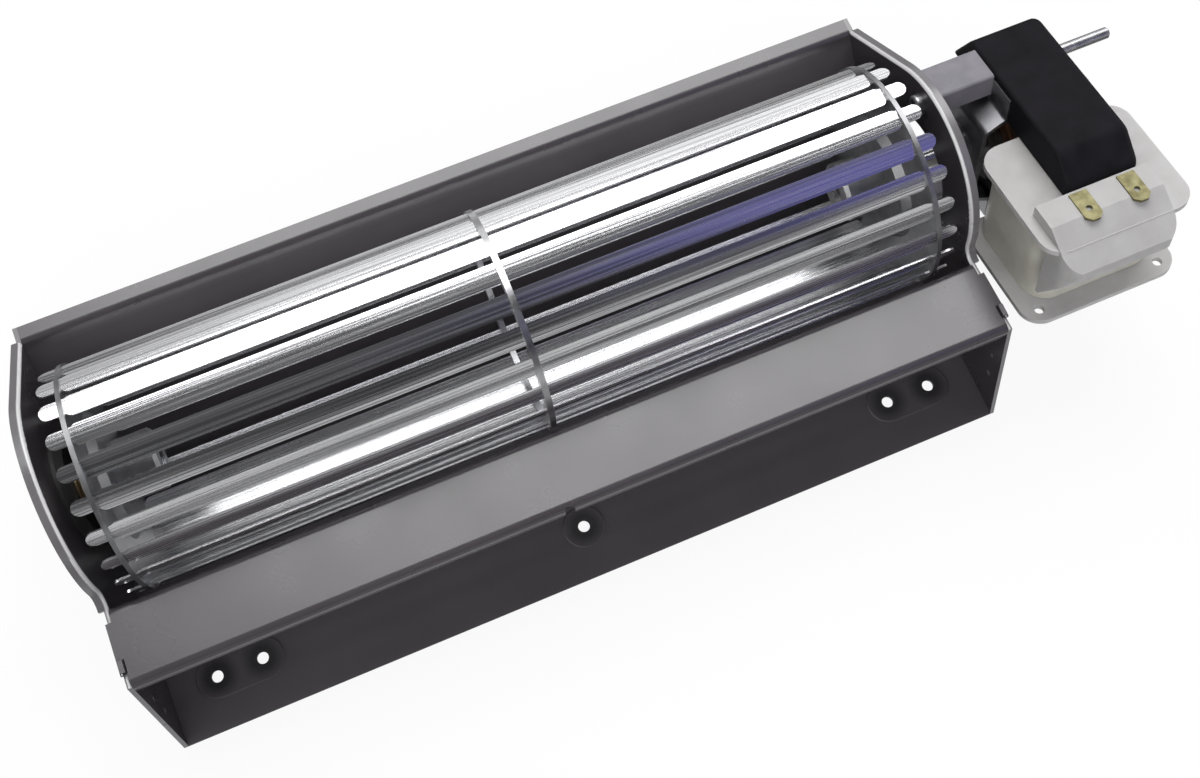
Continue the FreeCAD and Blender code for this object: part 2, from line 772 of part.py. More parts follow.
def stack_prism(grow):
    """The stack's outline grown by some millimetres on every side, with sharp corners."""
    corners = stack_corners()
    points = [vector(stack_start - grow, y, z) for y, z in corners + corners[:1]]
    outline = Part.Face(Part.makePolygon(points))
    if grow:
        outline = outline.makeOffset2D(grow, 2)
    return outline.extrude(vector(stack_length + 2 * grow, 0, 0))


def round_edges(body, radius, wanted):
    """Round the edges whose bounding box passes a test."""
    return body.makeFillet(radius, [edge for edge in body.Edges if wanted(edge.BoundBox)])


def make_cover():
    """Black cap over the upper yoke, open where the brackets' feet meet the stack."""
    grow = cover_gap + cover_wall
    low = window_half_height + cover_gap
    outer = stack_prism(grow).common(box((stack_start - far, stack_end + far), (-far, far), (low, far)))
    outer = round_edges(outer, cover_corner, lambda b: b.XLength > stack_length and b.ZMin > low + 0.01)
    for face, radius in ((stack_end + grow, cover_outer_round), (stack_start - grow, cover_inner_round)):
        outer = round_edges(outer, radius, lambda b: abs(b.XMin - face) + abs(b.XMax - face) < 0.02
                            and b.ZMax > low + 0.01)
    foot_width = around(bracket_middle, bracket_width + 2 * foot_clearance)
    feet = box((stack_start - far, stack_end + far), foot_width, (-far, bracket_reach + foot_clearance))
    span = box((stack_start - cover_gap, stack_end + cover_gap), (-far, far), (-far, far))
    return outer.cut([stack_prism(cover_gap), feet.cut(span)]).removeSplitter()


def shade_places():
    """The two shading slots of each pole, as (angle of the pole, side)."""
    return [(90, -1), (90, 1), (270, -1), (270, 1)]


def shade_bar(place, x_range, shrink):
    """Straight bar through a shading slot."""
    angle, side = place
    wide = shade_slot_wide / 2 - shrink
    long_half = shade_slot_long / 2 - shrink
    offset = side * shade_slot_offset
    middle = shade_slot_radius + shade_slot_long / 2
    bar = box(x_range, (offset - wide, offset + wide), (middle - long_half, middle + long_half))
    bar.rotate(vector(0, 0, 0), vector(1, 0, 0), angle - 90 + shade_turn)
    return bar


def make_shading_rings():
    """One closed copper loop on each pole, through two slots and across both faces of the stack."""
    rings = []
    shrink = press_clearance
    for angle in (90, 270):
        reach = (stack_start - shade_overhang, stack_end + shade_overhang)
        bars = [shade_bar((angle, side), reach, shrink) for side in (-1, 1)]
        middle = shade_slot_radius + shade_slot_long / 2
        long_half = shade_slot_long / 2 - shrink
        wide = shade_slot_offset + shade_slot_wide / 2 - shrink
        for x_range in ((reach[0], stack_start - 0.05), (stack_end + 0.05, reach[1])):
            end = box(x_range, (-wide, wide), (middle - long_half, middle + long_half))
            end.rotate(vector(0, 0, 0), vector(1, 0, 0), angle - 90 + shade_turn)
            bars.append(end)
        rings.append(bars[0].fuse(bars[1:]).removeSplitter())
    return Part.makeCompound([in_motor(ring) for ring in rings])


def limb_box(grow, z_range):
    """Space round the coil limb, grown on each side."""
    x_range = (stack_start - grow, stack_end + grow)
    return x_range, (-stack_front - grow, -limb_rear + grow), z_range


def coil_front():
    """Where the taped coil ends, with its clearance."""
    return stack_front + bobbin_clearance + bobbin_wall + winding_wall + wrap_thickness + 3 * wrap_clearance


def block_face(rear, lid, step, x):
    """Side view of the terminal block: sloping top, blunt edge, and a wall that leans in to the coil."""
    low = -block_drop
    top = window_half_height - bobbin_clearance + block_height
    edge = block_front - 0.3 * (block_edge_high - block_edge_low)
    slope = (edge - block_flat) / (top - block_edge_high)
    outline = [(rear, low), (coil_front() + block_foot, low), (block_front, block_edge_low)]
    outline += [(edge, block_edge_high), (block_flat + (top - lid) * slope, lid)]
    corners = [vector(x, -forward, up) for forward, up in outline + step]
    return Part.Face(Part.makePolygon(corners + corners[:1]))


def make_block():
    """Hollow terminal block: it slopes down ahead of the coil and is open towards the coil."""
    high = window_half_height - bobbin_clearance
    top = high + block_height
    low_x, high_x = around(stack_middle + block_shift, block_width)
    step = [(block_rear, top), (block_rear, high), (coil_front(), high)]
    solid = block_face(coil_front(), top, step, low_x).extrude(vector(high_x - low_x, 0, 0))
    plan = rounded_slab((low_x, high_x), (-block_front, 0), (-high, top), block_corner)
    solid = solid.common(plan)
    lid = high - bobbin_flange + bobbin_wall
    back = coil_front() - 3 * bobbin_wall
    core = block_face(back, lid, [(back, lid)], low_x + bobbin_wall).makeOffset2D(-bobbin_wall, 2)
    return solid.cut(core.extrude(vector(high_x - low_x - 2 * bobbin_wall, 0, 0)))


def make_bobbin():
    """Moulded bobbin: tube round the limb, two flanges and the terminal block on the upper one."""
    high = window_half_height - bobbin_clearance
    y_range = (-bobbin_front, -window_rear - bobbin_clearance)
    upper_x = around(stack_middle + bobbin_upper_shift, bobbin_upper_width)
    upper = rounded_slab(upper_x, y_range, (high - bobbin_flange, high), bobbin_corner)
    lower_x = around(stack_middle, bobbin_width)
    lower = rounded_slab(lower_x, y_range, (-high, -high + bobbin_flange), bobbin_corner)
    tube = box(*limb_box(bobbin_clearance + bobbin_wall, (-high, high)))
    body = upper.fuse([lower, tube, make_block()])
    cuts = [box(*limb_box(bobbin_clearance, (-far, far)))]
    for side in (-0.5, 0.5):
        x = stack_middle + side * bobbin_hole_spacing
        foot = vector(x, -bobbin_front + bobbin_hole_inset, -high - 1)
        cuts.append(Part.makeCylinder(bobbin_hole_radius, bobbin_flange + 2, foot))
        cuts.append(spade_blank(side, press_clearance))
    return body.cut(cuts).removeSplitter()


def spade_blank(side, grow):
    """Flat blank of one terminal, half sunk in the terminal block."""
    x = stack_middle + bobbin_upper_shift + side * spade_spacing
    half = spade_width / 2 + grow
    z = window_half_height - bobbin_clearance + block_height
    y_range = (-spade_start - spade_length - grow, -spade_start + grow)
    return box((x - half, x + half), y_range, (z - spade_thickness / 2 - grow, z + spade_thickness / 2 + grow))


def make_spades():
    """Two push-on terminals with a pointed nose and a latch hole."""
    spades = []
    for side in (-0.5, 0.5):
        blank = spade_blank(side, 0.0)
        tip = -spade_start - spade_length
        upright = [edge for edge in blank.Edges if edge.BoundBox.ZLength > 0.5 * spade_thickness]
        nose = [edge for edge in upright if edge.BoundBox.YMax < tip + 0.01]
        blank = blank.makeChamfer(spade_nose, nose)
        x = stack_middle + bobbin_upper_shift + side * spade_spacing
        hole = Part.makeCylinder(spade_hole_radius, far, vector(x, tip + spade_hole_inset, 0))
        spades.append(in_motor(blank.cut(hole)))
    return Part.makeCompound(spades)


def coil_ring(outer_grow, inner_grow, corner, z_half):
    """Block with rounded corners round the limb, with the limb's space cut out."""
    x_range, y_range, z_range = limb_box(outer_grow, (-z_half, z_half))
    outer = rounded_slab(x_range, y_range, z_range, corner)
    if inner_grow < 3:
        return outer.cut(box(*limb_box(inner_grow, (-far, far))))
    x_in, y_in, z_in = limb_box(inner_grow, (-far, far))
    return outer.cut(rounded_slab(x_in, y_in, z_in, corner - outer_grow + inner_grow))


def coil_half_height():
    return window_half_height - bobbin_clearance - bobbin_flange - wrap_clearance


def make_winding():
    inner = bobbin_clearance + bobbin_wall + wrap_clearance
    return coil_ring(inner + winding_wall, inner, coil_corner - wrap_thickness, coil_half_height())


def make_wrap():
    inner = bobbin_clearance + bobbin_wall + 2 * wrap_clearance + winding_wall
    return coil_ring(inner + wrap_thickness, inner, coil_corner, coil_half_height())


def bracket_corners(face, away):
    """Bent line of a bearing bracket, from its lower foot to its upper foot, as (x, z)."""
    near = face + away * bracket_thickness / 2
    out = near + away * bracket_joggle
    knee = bracket_reach - bracket_foot
    tall = knee - bracket_slant
    lower = [(near, -bracket_reach), (near, -knee), (out, -tall)]
    return lower + [(out, tall), (near, knee), (near, bracket_reach)]


def make_bracket(face, away):
    """Bearing bracket: joggled strip with a round housing drawn out of its middle."""
    corners = bracket_corners(face, away)
    start = bracket_middle - bracket_width / 2
    outline = strip_face(corners, [bend_radius] * 4, bracket_thickness, lambda x, z: vector(x, start, z))
    body = outline.extrude(vector(0, bracket_width, 0))
    inside = corners[2][0] - away * bracket_thickness / 2
    outside = inside + away * (bracket_thickness + boss_length)
    span = (min(inside, outside), max(inside, outside))
    body = body.fuse(rod(boss_radius, span))
    bore = motor_bush_radius + press_clearance
    cuts = [rod(bore, (span[0] - 1, span[1] + 1))]
    for y, z in screw_places():
        cuts.append(rod(screw_radius + screw_clearance, (face - far, face + far), y, z))
    return body.cut(cuts).removeSplitter()


def motor_bush_range(face, away):
    """A motor bush fills its housing."""
    inside = face + away * bracket_joggle
    outside = inside + away * motor_bush_length
    return (min(inside, outside), max(inside, outside))


def make_motor_bush(face, away):
    span = motor_bush_range(face, away)
    return pipe(motor_bush_radius, shaft_radius + running_clearance, span)


def make_motor_shaft():
    low = shaft_inner_end()
    high = motor_bush_range(stack_end, 1)[1] + shaft_end_gap
    profile = [(low, 0), (low, shaft_radius), (high - 0.5, shaft_radius), (high, shaft_radius - 0.5), (high, 0)]
    return turned(profile)


def make_rotor_core():
    """Rotor stack with the cage's end rings cast on it."""
    bore = shaft_radius + press_clearance
    ring = rotor_radius - 0.8
    ring_in = ring - cage_ring_wall
    low = stack_start - cage_ring_length
    high = stack_end + cage_ring_length
    profile = [(stack_start, bore), (stack_start, ring_in), (low, ring_in), (low, ring), (stack_start, ring),
               (stack_start, rotor_radius), (stack_end, rotor_radius), (stack_end, ring), (high, ring),
               (high, ring_in), (stack_end, ring_in), (stack_end, bore)]
    return turned(profile)


def make_spacer(side):
    """Block that the long screw passes through, between the end plate and the motor."""
    x_range = (plate_face, stack_start - bracket_thickness)
    middle = screw_back + spacer_back
    z = side * screw_height
    block = box(x_range, around(middle, spacer_width), around(z, spacer_height))
    long_edges = [edge for edge in block.Edges if edge.BoundBox.XLength > 0.5 * (x_range[1] - x_range[0])]
    block = block.makeFillet(0.8, long_edges)
    return block.cut(rod(screw_radius + screw_clearance, (x_range[0] - 1, x_range[1] + 1), screw_back, z))


def make_screws():
    """Two long screws, heads inside the duct."""
    screws = []
    for y, z in screw_places():
        head_x = half_width - screw_head_length
        head = rod(screw_head_radius, (head_x, half_width), y, z)
        flat = [edge for edge in head.Edges if edge.BoundBox.XLength < 0.01]
        rim = [edge for edge in flat if abs(edge.BoundBox.XMin - head_x) < 0.01]
        head = head.makeFillet(screw_head_length * 0.5, rim)
        cross = box((head_x - 1, head_x + 0.9), (y - 2, y + 2), (z - 0.35, z + 0.35))
        cross = cross.fuse(box((head_x - 1, head_x + 0.9), (y - 0.35, y + 0.35), (z - 2, z + 2)))
        shank = rod(screw_radius, (half_width - 0.2, screw_end), y, z)
        end = [edge for edge in shank.Edges if abs(edge.BoundBox.XMin - screw_end) < 0.01]
        shank = shank.makeChamfer(0.4, end)
        screws.append(in_motor(head.cut(cross).fuse(shank).removeSplitter()))
    return Part.makeCompound(screws)


def build():
    """Every piece by its name."""
    pieces = {
        "scroll_sheet": make_scroll(),
        "tongue_sheet": make_tongue(),
        "end_plate_left": make_end_plate_left(),
        "end_plate_right": make_end_plate_right(),
        "bearing_grommet": make_grommet(),
        "bearing_bush": make_bush(),
        "thrust_washers": make_washers(),
        "wheel_blades": make_blades(),
        "wheel_disc_left": mirrored(make_end_disc()),
        "wheel_disc_right": make_end_disc(),
        "wheel_middle_ring": make_middle_ring(),
        "wheel_hub_left": mirrored(make_hub()),
        "wheel_hub_right": make_hub(),
        "stub_shaft": make_stub_shaft(),
        "set_screws": Part.makeCompound([mirrored(make_set_screw()), make_set_screw()]),
        "stator_stack": in_motor(make_stator()),
        "stack_cover": in_motor(make_cover()),
        "shading_rings": make_shading_rings(),
        "coil_bobbin": in_motor(make_bobbin()),
        "coil_winding": in_motor(make_winding()),
        "coil_wrap": in_motor(make_wrap()),
        "spade_terminals": make_spades(),
        "bearing_bracket_inner": in_motor(make_bracket(stack_start, -1)),
        "bearing_bracket_outer": in_motor(make_bracket(stack_end, 1)),
        "motor_bush_inner": in_motor(make_motor_bush(stack_start, -1)),
        "motor_bush_outer": in_motor(make_motor_bush(stack_end, 1)),
        "motor_shaft": make_motor_shaft(),
        "motor_rotor": make_rotor_core(),
        "motor_spacer_upper": in_motor(make_spacer(1)),
        "motor_spacer_lower": in_motor(make_spacer(-1)),
        "motor_screws": make_screws(),
    }
    return pieces


os.makedirs("parts", exist_ok=True)
for name, shape in build().items():
    shape.exportStep("parts/" + name + ".step")
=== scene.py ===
import math

import bpy
import numpy as np
from mathutils import Matrix, Vector


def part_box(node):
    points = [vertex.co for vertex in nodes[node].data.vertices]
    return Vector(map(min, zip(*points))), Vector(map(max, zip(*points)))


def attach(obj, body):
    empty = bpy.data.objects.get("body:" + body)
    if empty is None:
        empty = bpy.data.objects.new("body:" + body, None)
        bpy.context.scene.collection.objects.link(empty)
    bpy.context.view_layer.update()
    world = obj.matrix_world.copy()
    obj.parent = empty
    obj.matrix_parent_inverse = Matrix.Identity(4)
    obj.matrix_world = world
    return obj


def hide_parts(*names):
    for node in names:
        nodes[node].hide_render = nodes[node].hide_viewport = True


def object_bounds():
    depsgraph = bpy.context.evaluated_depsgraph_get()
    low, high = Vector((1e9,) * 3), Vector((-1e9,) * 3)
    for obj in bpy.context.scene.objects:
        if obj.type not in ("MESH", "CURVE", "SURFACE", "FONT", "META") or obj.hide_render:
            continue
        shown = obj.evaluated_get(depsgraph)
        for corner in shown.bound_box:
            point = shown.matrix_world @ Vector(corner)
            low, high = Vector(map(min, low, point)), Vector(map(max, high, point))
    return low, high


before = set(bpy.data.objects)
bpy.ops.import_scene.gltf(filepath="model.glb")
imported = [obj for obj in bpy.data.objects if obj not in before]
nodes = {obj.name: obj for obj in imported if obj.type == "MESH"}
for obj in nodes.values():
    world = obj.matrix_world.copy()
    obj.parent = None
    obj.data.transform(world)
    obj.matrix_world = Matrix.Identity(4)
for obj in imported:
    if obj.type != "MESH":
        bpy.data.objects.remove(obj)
cad_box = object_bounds()
scene = bpy.context.scene
scene.view_settings.view_transform = "Standard"


# The studio
# The fan lies on a pale floor in a dim room, under a large soft lamp above and behind it. A weaker
# lamp fills the front, a faint violet one tints the wheel, and two side screens show in metal only.
# The camera looks down on the fan from the front left, as the photograph's does.

CAMERA_PLACE = (-0.033494, -0.122804, 0.391569)
CAMERA_RIGHT = Vector((0.92240725, -0.38607605, 0.01049529))
CAMERA_DOWN = Vector((-0.36632653, -0.88318434, -0.29289979))
CAMERA_AHEAD = Vector((0.12235087, 0.26632819, -0.95608554))
CAMERA_LENS = 43.954
CAMERA_SENSOR = 36.0
CAMERA_SHIFT = (0.00992, -0.00317)
CAMERA_NEAREST = 0.01


def place_camera():
    """Pinhole camera: its place and its three axes come from a fit to the fan's own edges."""
    camera = bpy.data.cameras.new("camera")
    camera.sensor_width = CAMERA_SENSOR
    camera.lens = CAMERA_LENS
    camera.shift_x, camera.shift_y = CAMERA_SHIFT
    camera.clip_start = CAMERA_NEAREST
    seat = bpy.data.objects.new("camera", camera)
    turn = Matrix((CAMERA_RIGHT, -CAMERA_DOWN, -CAMERA_AHEAD)).transposed().to_4x4()
    seat.matrix_world = Matrix.Translation(CAMERA_PLACE) @ turn
    scene.collection.objects.link(seat)
    scene.camera = seat


def soft_lamp(name, place, aim, size, power, roll=0.0):
    """Flat lamp at a place, facing a point and rolled about its own axis by an angle in degrees."""
    light = bpy.data.lights.new(name, "AREA")
    light.shape = "RECTANGLE"
    light.size, light.size_y = size
    light.energy = power
    lamp = bpy.data.objects.new(name, light)
    facing = (Vector(aim) - Vector(place)).to_track_quat("-Z", "Y").to_matrix().to_4x4()
    rolled = Matrix.Rotation(math.radians(roll), 4, "Z")
    lamp.matrix_world = Matrix.Translation(place) @ facing @ rolled
    scene.collection.objects.link(lamp)
    return lamp


def link(tree, source, target):
    """Link from one node's socket to another's."""
    tree.links.new(source, target)


def sums(tree, kind, *values):
    """Math node on sockets or numbers."""
    node = tree.nodes.new("ShaderNodeMath")
    node.operation = kind
    for socket, value in zip(node.inputs, values):
        if isinstance(value, (int, float)):
            socket.default_value = value
        else:
            link(tree, value, socket)
    return node.outputs[0]


def ramp(tree, value, *ends):
    """Straight line over a socket, held level outside. The ends are where it starts and stops,
    then its value at each."""
    line = tree.nodes.new("ShaderNodeMapRange")
    link(tree, value, line.inputs[0])
    for socket, end in zip(line.inputs[1:5], ends):
        socket.default_value = end
    return line.outputs[0]


def seen_straight(tree, path):
    """One for rays from the camera, also through something clear, and nothing for all others."""
    return sums(tree, "MAXIMUM", path.outputs["Is Camera Ray"], path.outputs["Is Transmission Ray"])


FLOOR_HALF = 4.0
FLOOR_LINES = 9
FLOOR_GAP = 0.0004
FLOOR_PAINT = (0.93, 0.93, 0.93, 1)
FLOOR_ROUGHNESS = 0.9
FLOOR_SPECULAR = 0.1
FLOOR_WHITE = 0.9
FLOOR_FADE = (0.12, 0.26, 0.8, 0.08)


def floor_paint():
    """Pale paint, mostly plain white to the camera, which shadows still darken.
    Mirrors see it fade with the distance from the middle to the dark of the room."""
    paint = bpy.data.materials.new("floor_paint")
    paint.use_nodes = True
    tree = paint.node_tree
    shader = tree.nodes["Principled BSDF"]
    shader.inputs["Base Color"].default_value = FLOOR_PAINT
    shader.inputs["Roughness"].default_value = FLOOR_ROUGHNESS
    shader.inputs["Specular IOR Level"].default_value = FLOOR_SPECULAR
    path = tree.nodes.new("ShaderNodeLightPath")
    glossy = path.outputs["Is Glossy Ray"]
    place = tree.nodes.new("ShaderNodeTexCoord")
    away = tree.nodes.new("ShaderNodeVectorMath")
    away.operation = "LENGTH"
    link(tree, place.outputs["Object"], away.inputs[0])
    fade = ramp(tree, away.outputs["Value"], *FLOOR_FADE)
    glow = tree.nodes.new("ShaderNodeEmission")
    strength = sums(tree, "MAXIMUM", sums(tree, "SUBTRACT", 1.0, glossy), fade)
    link(tree, strength, glow.inputs["Strength"])
    share = sums(tree, "MULTIPLY_ADD", seen_straight(tree, path), FLOOR_WHITE, glossy)
    blend = tree.nodes.new("ShaderNodeMixShader")
    link(tree, share, blend.inputs["Fac"])
    link(tree, shader.outputs[0], blend.inputs[1])
    link(tree, glow.outputs[0], blend.inputs[2])
    link(tree, blend.outputs[0], tree.nodes["Material Output"].inputs["Surface"])
    return paint


def grid_faces(rows, columns, start=0):
    """Quads of an open grid of points that are numbered row by row."""
    i, j = np.meshgrid(np.arange(rows - 1), np.arange(columns - 1), indexing="ij")
    corner = start + (i * columns + j).ravel()
    return np.stack([corner, corner + 1, corner + columns + 1, corner + columns], -1)


def lay_floor():
    """Flat square under the fan: X and Y are the two parameters, and the height is constant."""
    line = np.linspace(-FLOOR_HALF, FLOOR_HALF, FLOOR_LINES)
    x, y = np.meshgrid(line, line)
    points = np.stack([x, y, np.full_like(x, cad_box[0][2] - FLOOR_GAP)], -1).reshape(-1, 3)
    mesh = bpy.data.meshes.new("floor")
    mesh.from_pydata(points.tolist(), [], grid_faces(FLOOR_LINES, FLOOR_LINES).tolist())
    floor = bpy.data.objects.new("floor", mesh)
    scene.collection.objects.link(floor)
    mesh.materials.append(floor_paint())


WALL_HEIGHT = (0.25, 0.6, 1.0, 0.0)
WALL_DEPTH = (0.1, 0.5, 0.0, 1.0)
WALL_WIDTH = (-0.35, 0.1, 0.1, 1.0)
FRONT_HEIGHT = (0.1, 0.35, 0.8, 0.0)
FRONT_DEPTH = (-0.9, -0.5, 1.0, 0.0)
ROOM_DEPTH = (-0.6, 0.3, 0.04, 0.11)


def fill_world():
    """Dark room with a pale wall behind the fan, which fades upwards and to the left, and a low
    pale front. Each is a product of straight lines over the direction. The camera sees it white."""
    world = bpy.data.worlds.new("studio")
    scene.world = world
    world.use_nodes = True
    tree = world.node_tree
    place = tree.nodes.new("ShaderNodeTexCoord")
    split = tree.nodes.new("ShaderNodeSeparateXYZ")
    link(tree, place.outputs["Generated"], split.inputs[0])
    x, y, z = split.outputs
    wall = sums(tree, "MULTIPLY", ramp(tree, z, *WALL_HEIGHT), ramp(tree, y, *WALL_DEPTH))
    wall = sums(tree, "MULTIPLY", wall, ramp(tree, x, *WALL_WIDTH))
    front = sums(tree, "MULTIPLY", ramp(tree, z, *FRONT_HEIGHT), ramp(tree, y, *FRONT_DEPTH))
    total = sums(tree, "ADD", sums(tree, "ADD", wall, front), ramp(tree, y, *ROOM_DEPTH))
    straight = seen_straight(tree, tree.nodes.new("ShaderNodeLightPath"))
    link(tree, sums(tree, "MAXIMUM", total, straight), tree.nodes["Background"].inputs["Color"])


place_camera()
lay_floor()
fill_world()
soft_lamp("rear_lamp", place=(0.25, 0.645, 1.03), aim=(0.22, 0.0, 0.03), size=(1.2, 0.82),
          power=14.5, roll=-11.0)
front_lamp = soft_lamp("front_lamp", place=(-0.15, -0.65, 0.95), aim=(0.0, 0.0, 0.03),
                       size=(1.0, 1.0), power=7.0)
front_lamp.visible_glossy = False
violet_lamp = soft_lamp("violet_lamp", place=(0.50, -0.62, 0.90), aim=(0.08, 0.0, 0.05),
                        size=(0.40, 0.8), power=0.34)
violet_lamp.data.color = (0.26, 0.24, 1.0)
for name, place, power in (("left_screen", (-1.1, -0.15, 0.45), 16.0),
                           ("right_screen", (1.2, -0.15, 0.35), 8.0)):
    screen = soft_lamp(name, place, aim=(0.0, -0.02, 0.05), size=(1.7, 0.6), power=power)
    screen.visible_diffuse = False


# Duct sheets
# The scroll, the tongue strip and the two end plates are 1 mm steel sheet, folded and drawn,
# then coated with dark satin paint. Tabs on the sheets pass through slots and are staked.

def new_finish(name, metallic, **sockets):
    """Material with one shader, whose plain numbers are set on its own sockets."""
    finish = bpy.data.materials.new(name)
    finish.use_nodes = True
    shader = finish.node_tree.nodes["Principled BSDF"]
    shader.inputs["Metallic"].default_value = metallic
    for socket, value in sockets.items():
        shader.inputs[socket.replace("_", " ")].default_value = value
    return finish, finish.node_tree, shader


def grain(tree, size, detail, stretch=(1, 1, 1)):
    """Noise with features of about that size in metres, stretched along the object's axes."""
    place = tree.nodes.new("ShaderNodeTexCoord")
    scale = tree.nodes.new("ShaderNodeMapping")
    scale.inputs["Scale"].default_value = [1 / (size * s) for s in stretch]
    noise = tree.nodes.new("ShaderNodeTexNoise")
    noise.inputs["Scale"].default_value = 1.0
    noise.inputs["Detail"].default_value = detail
    link(tree, place.outputs["Object"], scale.inputs["Vector"])
    link(tree, scale.outputs[0], noise.inputs["Vector"])
    return noise.outputs["Fac"]


def shades(tree, pattern, *stops):
    """Colour ramp through (place, grey or colour) stops."""
    band = tree.nodes.new("ShaderNodeValToRGB")
    while len(band.color_ramp.elements) < len(stops):
        band.color_ramp.elements.new(0.5)
    for element, (place, shade) in zip(band.color_ramp.elements, stops):
        element.position = place
        element.color = (*shade, 1) if isinstance(shade, tuple) else (shade, shade, shade, 1)
    link(tree, pattern, band.inputs[0])
    return band.outputs[0]


def relief(tree, shader, height, depth, strength):
    """Bump from a height pattern, with its depth in metres."""
    bump = tree.nodes.new("ShaderNodeBump")
    bump.inputs["Distance"].default_value = depth
    bump.inputs["Strength"].default_value = strength
    link(tree, height, bump.inputs["Height"])
    link(tree, bump.outputs[0], shader.inputs["Normal"])


PAINT_COLOURS = ((0.3, (0.047, 0.041, 0.047)), (0.7, (0.058, 0.051, 0.058)))
PAINT_ROUGHNESS = ((0.3, 0.26), (0.7, 0.32))
HOLES = [(x / 1000, -0.0505, 0.001) for x in (-104.0, -91.5, 0.0, 91.5, 104.0)]
# Painted shade round the drawn holes: from 3 mm to 6.2 mm from a hole's middle, the coat goes from
# a fifth of its colour to all of it.
HOLE_PAINTED_SHADE = (0.0030, 0.0062, 0.2, 1.0)
# Painted highlight on the plates' rims and folds, standing in for the lamps' reflection: grey added
# to the coat where the surface turns away from facing along X.
RIM_TURN = (0.93, 0.98, 1.0, 0.0)
RIM_HIGHLIGHT_GREY = 0.09
FOLD_TURN = (0.08, 0.35, 0.0, 1.0)
FOLD_HIGHLIGHT_GREY = 0.50
LIP_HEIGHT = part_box("scroll_sheet")[1][2]
DUST_DEPTHS = (0.003, 0.001)
DUST_ROUGHNESS = 0.45


def painted_shade_round_holes(tree, paint, holes):
    """Painted shade round each drawn hole, standing in for the shadow and dark reflection of its
    drawn slope: the coat is scaled down by the distance from its middle.
    """
    place = tree.nodes.new("ShaderNodeTexCoord")
    for hole in holes:
        away = tree.nodes.new("ShaderNodeVectorMath")
        away.operation = "DISTANCE"
        away.inputs[1].default_value = hole
        link(tree, place.outputs["Object"], away.inputs[0])
        tint = tree.nodes.new("ShaderNodeVectorMath")
        tint.operation = "SCALE"
        link(tree, paint, tint.inputs[0])
        link(tree, ramp(tree, away.outputs["Value"], *HOLE_PAINTED_SHADE), tint.inputs["Scale"])
        paint = tint.outputs[0]
    return paint


def painted_rim_highlight(tree, paint):
    """Painted highlight on a plate's rim, which doesn't face along X as its flat does, and
    brightest on the rounded fold between them, in place of the lamps' reflection there. A grey is
    added by how far the surface faces along X."""
    facing = tree.nodes.new("ShaderNodeNewGeometry")
    split = tree.nodes.new("ShaderNodeSeparateXYZ")
    link(tree, facing.outputs["Normal"], split.inputs[0])
    across = sums(tree, "ABSOLUTE", split.outputs["X"])
    rim = ramp(tree, across, *RIM_TURN)
    fold = sums(tree, "MULTIPLY", rim, ramp(tree, across, *FOLD_TURN))
    highlight = sums(tree, "MULTIPLY_ADD", fold, FOLD_HIGHLIGHT_GREY, sums(tree, "MULTIPLY", rim, RIM_HIGHLIGHT_GREY))
    tint = tree.nodes.new("ShaderNodeVectorMath")
    tint.operation = "ADD"
    link(tree, paint, tint.inputs[0])
    link(tree, highlight, tint.inputs[1])
    return tint.outputs[0]


def dusty_inside(tree, roughness, dust):
    """Roughness with that much more for dust below the scroll's lip, blended in over 2 mm."""
    place = tree.nodes.new("ShaderNodeTexCoord")
    split = tree.nodes.new("ShaderNodeSeparateXYZ")
    link(tree, place.outputs["Object"], split.inputs[0])
    full, none = (LIP_HEIGHT - depth for depth in DUST_DEPTHS)
    return sums(tree, "ADD", roughness, ramp(tree, split.outputs["Z"], full, none, dust, 0.0))


def satin_paint(holes=(), rim_highlights=False, dust=0.0):
    """Dark sprayed coat: clouds in its colour and its gloss, and a fine orange peel. It may carry
    painted shade round holes and a painted highlight on rims.
    """
    finish, tree, shader = new_finish("satin_paint", metallic=0.0, Specular_IOR_Level=0.9)
    paint = shades(tree, grain(tree, size=0.03, detail=3.0), *PAINT_COLOURS)
    paint = painted_shade_round_holes(tree, paint, holes)
    if rim_highlights:
        paint = painted_rim_highlight(tree, paint)
    link(tree, paint, shader.inputs["Base Color"])
    roughness = shades(tree, grain(tree, size=0.02, detail=4.0), *PAINT_ROUGHNESS)
    link(tree, dusty_inside(tree, roughness, dust), shader.inputs["Roughness"])
    relief(tree, shader, grain(tree, size=0.0009, detail=2.0), depth=0.00002, strength=0.5)
    return finish


def coat(finish, *names):
    """One finish on each named solid of the frame."""
    for name in names:
        nodes[name].data.materials.clear()
        nodes[name].data.materials.append(finish)


# The scroll's coat carries painted shade round its drawn holes.
coat(satin_paint(holes=HOLES, dust=DUST_ROUGHNESS), "scroll_sheet")
coat(satin_paint(), "tongue_sheet")
# The end plates' coat carries a painted highlight on their rims and folds.
coat(satin_paint(rim_highlights=True), "end_plate_left", "end_plate_right")


# Wheel
# Twenty-two bent blades of bright rolled aluminium, with fine lines along their length, run between
# two dished end discs through a middle ring. Their tabs pass through slots in the discs, and a hub
# in each disc carries the wheel.

LINE_COLOURS = ((0.32, (0.60, 0.60, 0.63)), (0.62, (0.93, 0.93, 0.94)))
LINE_ROUGHNESS = ((0.3, 0.20), (0.7, 0.30))
LINE_STRETCH = (150, 1, 1)


def bright_aluminium():
    """Rolled sheet: one noise, drawn out along X, gives its lines in colour, gloss and relief."""
    finish, tree, shader = new_finish("bright_aluminium", metallic=1.0)
    lines = grain(tree, size=0.0006, detail=2.0, stretch=LINE_STRETCH)
    link(tree, shades(tree, lines, *LINE_ROUGHNESS), shader.inputs["Roughness"])
    link(tree, shades(tree, lines, *LINE_COLOURS), shader.inputs["Base Color"])
    relief(tree, shader, lines, depth=0.00006, strength=1.0)
    return finish


